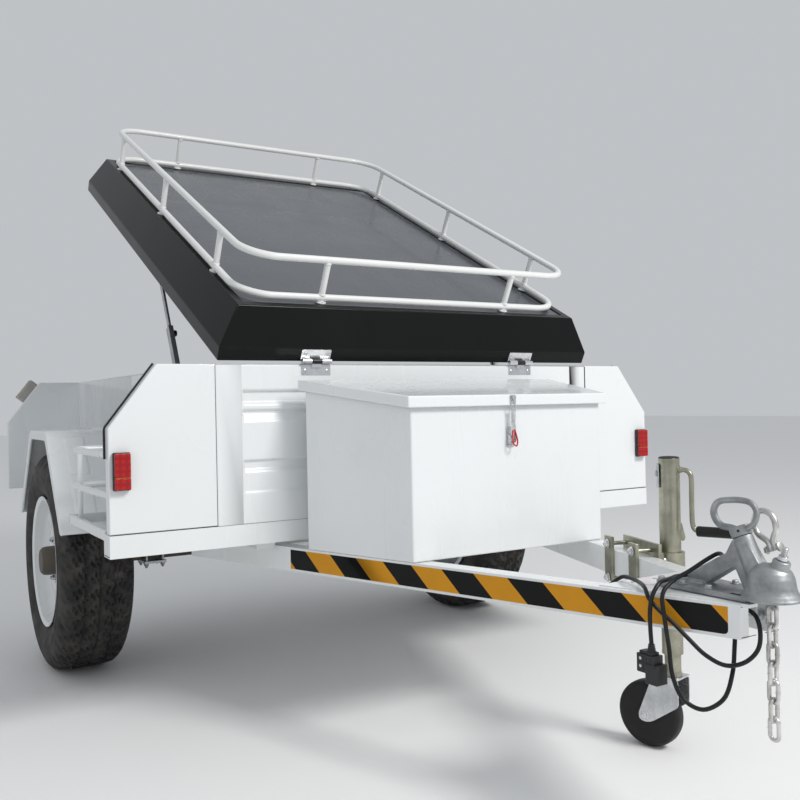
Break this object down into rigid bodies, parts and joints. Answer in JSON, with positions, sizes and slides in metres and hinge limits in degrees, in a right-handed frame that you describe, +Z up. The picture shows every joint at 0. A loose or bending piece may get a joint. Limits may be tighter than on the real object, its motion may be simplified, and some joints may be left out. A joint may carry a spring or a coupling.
{
  "type": "off-road box trailer",
  "caption": "single-axle off-road box trailer with a front-hinged tonneau lid and roof rack, drawbar toolbox, ball coupling and jockey wheel",
  "frame": {"origin": "on the ground, under the middle of the trailer's overall length and width", "axes": "+X forward to the coupling, +Y to the trailer's left, +Z up"},
  "size_m": [2.7546, 1.718, 1.8363],
  "materials": {
    "white_paint": "gloss",
    "lid_black": "gloss",
    "roof_paint": "satin",
    "bright_zinc": "satin",
    "yellow_zinc": "satin",
    "galvanised": "matt",
    "cast_grey": "matt",
    "axle_black": "satin",
    "rim_paint": "gloss",
    "tyre": "matt",
    "lamp_lens": "gloss",
    "wheel_rubber": "matt",
    "cable_rubber": "satin",
    "plug_plastic": "satin"
  },
  "bodies": {
    "frame": {"chassis": "white_paint", "tub": "white_paint", "front_wing_left": "white_paint", "front_wing_right": "white_paint", "rear_wing_left": "white_paint", "rear_wing_right": "white_paint", "mudguard_left": "white_paint", "mudguard_right": "white_paint", "side_bay_left": "white_paint", "side_bay_right": "white_paint", "tailgate_hinge_left": "galvanised", "tailgate_hinge_right": "galvanised", "hinge_leaf_tub_left": "bright_zinc", "hinge_leaf_tub_right": "bright_zinc", "toolbox": "white_paint", "toolbox_latch_base": "bright_zinc", "marker_lamp_left": "lamp_lens", "marker_lamp_right": "lamp_lens", "tail_lamp_left": "lamp_lens", "tail_lamp_right": "lamp_lens", "coupling_body": "cast_grey", "coupling_adjuster": "bright_zinc", "safety_shackle": "galvanised", "jockey_bracket": "yellow_zinc", "cable_grommet": "cable_rubber", "cable": "cable_rubber", "cable_plug": "plug_plastic", "leaf_spring_left": "axle_black", "leaf_spring_right": "axle_black"},
    "lid": {"lid_shell": "lid_black", "roof_panel": "roof_paint", "roof_rack": "white_paint", "hinge_leaf_lid_left": "bright_zinc", "hinge_leaf_lid_right": "bright_zinc"},
    "tailgate": {"tailgate": "white_paint"},
    "tailgate_latch_left": {"tailgate_latch_left": "bright_zinc"},
    "tailgate_latch_right": {"tailgate_latch_right": "bright_zinc"},
    "toolbox_lid": {"toolbox_lid": "white_paint"},
    "toolbox_latch": {"toolbox_latch_lever": "bright_zinc"},
    "axle": {"axle": "axle_black"},
    "coupling_handle": {"coupling_handle": "bright_zinc"},
    "safety_chain": {"safety_chain": "galvanised"},
    "jockey": {"jockey_swivel": "yellow_zinc", "jockey_outer_tube": "yellow_zinc"},
    "jockey_lock_pin": {"jockey_lock_pin": "bright_zinc"},
    "jockey_crank": {"jockey_crank": "bright_zinc"},
    "jockey_screw": {"jockey_screw": "galvanised"},
    "jockey_inner": {"jockey_inner_tube": "yellow_zinc"},
    "jockey_fork": {"jockey_fork": "bright_zinc"},
    "jockey_wheel": {"jockey_wheel": "wheel_rubber"},
    "stay_right": {"stay_channel_right": "galvanised"},
    "stay_bar_right": {"stay_bar_right": "galvanised"},
    "wheel_right": {"tyre_right": "tyre", "rim_right": "rim_paint", "hub_right": "axle_black"},
    "stay_left": {"stay_channel_left": "galvanised"},
    "stay_bar_left": {"stay_bar_left": "galvanised"},
    "wheel_left": {"tyre_left": "tyre", "rim_left": "rim_paint", "hub_left": "axle_black"}
  },
  "joints": [
    {"name": "lid_hinge", "type": "hinge", "parent": "frame", "child": "lid", "pos_m": [0.2263, 0, 0.928], "axis": [0, 1, 0], "range_deg": [-27.5, 0]},
    {"name": "stay_right_swing", "type": "hinge", "parent": "frame", "child": "stay_right", "pos_m": [-0.0817, -0.566, 0.72], "axis": [0, 1, 0], "range_deg": [-31, 0.5]},
    {"name": "stay_right_slide", "type": "slide", "parent": "stay_right", "child": "stay_bar_right", "axis": [-0.4617, 0, 0.887], "range_m": [-0.18, 0.002]},
    {"name": "stay_left_swing", "type": "hinge", "parent": "frame", "child": "stay_left", "pos_m": [-0.0817, 0.566, 0.72], "axis": [0, 1, 0], "range_deg": [-31, 0.5]},
    {"name": "stay_left_slide", "type": "slide", "parent": "stay_left", "child": "stay_bar_left", "axis": [-0.4617, 0, 0.887], "range_m": [-0.18, 0.002]},
    {"name": "tailgate_hinge", "type": "hinge", "parent": "frame", "child": "tailgate", "pos_m": [-1.347, 0, 0.513], "axis": [0, -1, 0], "range_deg": [0, 95]},
    {"name": "tailgate_latch_right_turn", "type": "hinge", "parent": "tailgate", "child": "tailgate_latch_right", "pos_m": [-1.357, -0.526, 0.81], "axis": [1, 0, 0], "range_deg": [0, 90]},
    {"name": "tailgate_latch_left_turn", "type": "hinge", "parent": "tailgate", "child": "tailgate_latch_left", "pos_m": [-1.357, 0.526, 0.81], "axis": [-1, 0, 0], "range_deg": [0, 90]},
    {"name": "toolbox_lid_hinge", "type": "hinge", "parent": "frame", "child": "toolbox_lid", "pos_m": [0.2773, 0, 0.851], "axis": [0, -1, 0], "range_deg": [0, 75]},
    {"name": "toolbox_latch_lift", "type": "hinge", "parent": "frame", "child": "toolbox_latch", "pos_m": [0.6196, -0.006, 0.725], "axis": [0, 1, 0], "range_deg": [0, 100]},
    {"name": "axle_travel", "type": "slide", "parent": "frame", "child": "axle", "axis": [0, 0, 1], "range_m": [-0.04, 0.02], "stiffness_N_per_m": 90000, "springref_m": -0.035, "deforming": ["leaf_spring_right", "leaf_spring_left"]},
    {"name": "wheel_right_spin", "type": "hinge", "parent": "axle", "child": "wheel_right", "pos_m": [-0.6967, -0.747, 0.34], "axis": [0, 1, 0], "continuous": true},
    {"name": "wheel_left_spin", "type": "hinge", "parent": "axle", "child": "wheel_left", "pos_m": [-0.6967, 0.747, 0.34], "axis": [0, 1, 0], "continuous": true},
    {"name": "coupling_handle_lift", "type": "slide", "parent": "frame", "child": "coupling_handle", "axis": [-0.4226, 0, 0.9063], "range_m": [0, 0.018], "stiffness_N_per_m": 1500, "springref_m": -0.01},
    {"name": "safety_chain_swing", "type": "hinge", "parent": "frame", "child": "safety_chain", "pos_m": [1.3063, 0.022, 0.438], "axis": [0, 1, 0], "range_deg": [-30, 3]},
    {"name": "jockey_swing", "type": "hinge", "parent": "frame", "child": "jockey", "pos_m": [0.84908, 0.20199, 0.425], "axis": [0.3142, 0.9493, 0], "range_deg": [-60, 0]},
    {"name": "jockey_lock_pin_pull", "type": "slide", "parent": "jockey", "child": "jockey_lock_pin", "axis": [0.3142, 0.9493, 0], "range_m": [0, 0.008], "stiffness_N_per_m": 600, "springref_m": -0.005},
    {"name": "jockey_crank_turn", "type": "hinge", "parent": "jockey", "child": "jockey_crank", "pos_m": [0.8663, 0.254, 0.65], "axis": [0.9135, 0.4067, 0], "range_deg": [-3600, 2160]},
    {"name": "jockey_screw_turn", "type": "hinge", "parent": "jockey", "child": "jockey_screw", "pos_m": [0.8663, 0.254, 0.5], "axis": [0, 0, 1], "range_deg": [-3600, 2160]},
    {"name": "jockey_raise", "type": "slide", "parent": "jockey", "child": "jockey_inner", "axis": [0, 0, 1], "range_m": [-0.075, 0.045]},
    {"name": "jockey_fork_swivel", "type": "hinge", "parent": "jockey_inner", "child": "jockey_fork", "pos_m": [0.8663, 0.254, 0.15], "axis": [0, 0, 1], "continuous": true},
    {"name": "jockey_wheel_spin", "type": "hinge", "parent": "jockey_fork", "child": "jockey_wheel", "pos_m": [0.80905, 0.23973, 0.077], "axis": [-0.2419, 0.9703, 0], "continuous": true}
  ],
  "couplings": [
    {"joint": "stay_right_swing", "follows": "lid_hinge", "ratio": 1.1094},
    {"joint": "stay_right_slide", "follows": "lid_hinge", "m_per_rad": 0.36397},
    {"joint": "stay_left_swing", "follows": "lid_hinge", "ratio": 1.1094},
    {"joint": "stay_left_slide", "follows": "lid_hinge", "m_per_rad": 0.36397},
    {"joint": "jockey_screw_turn", "follows": "jockey_crank_turn", "ratio": 1},
    {"joint": "jockey_raise", "follows": "jockey_crank_turn", "m_per_rad": 0.0011937}
  ]
}
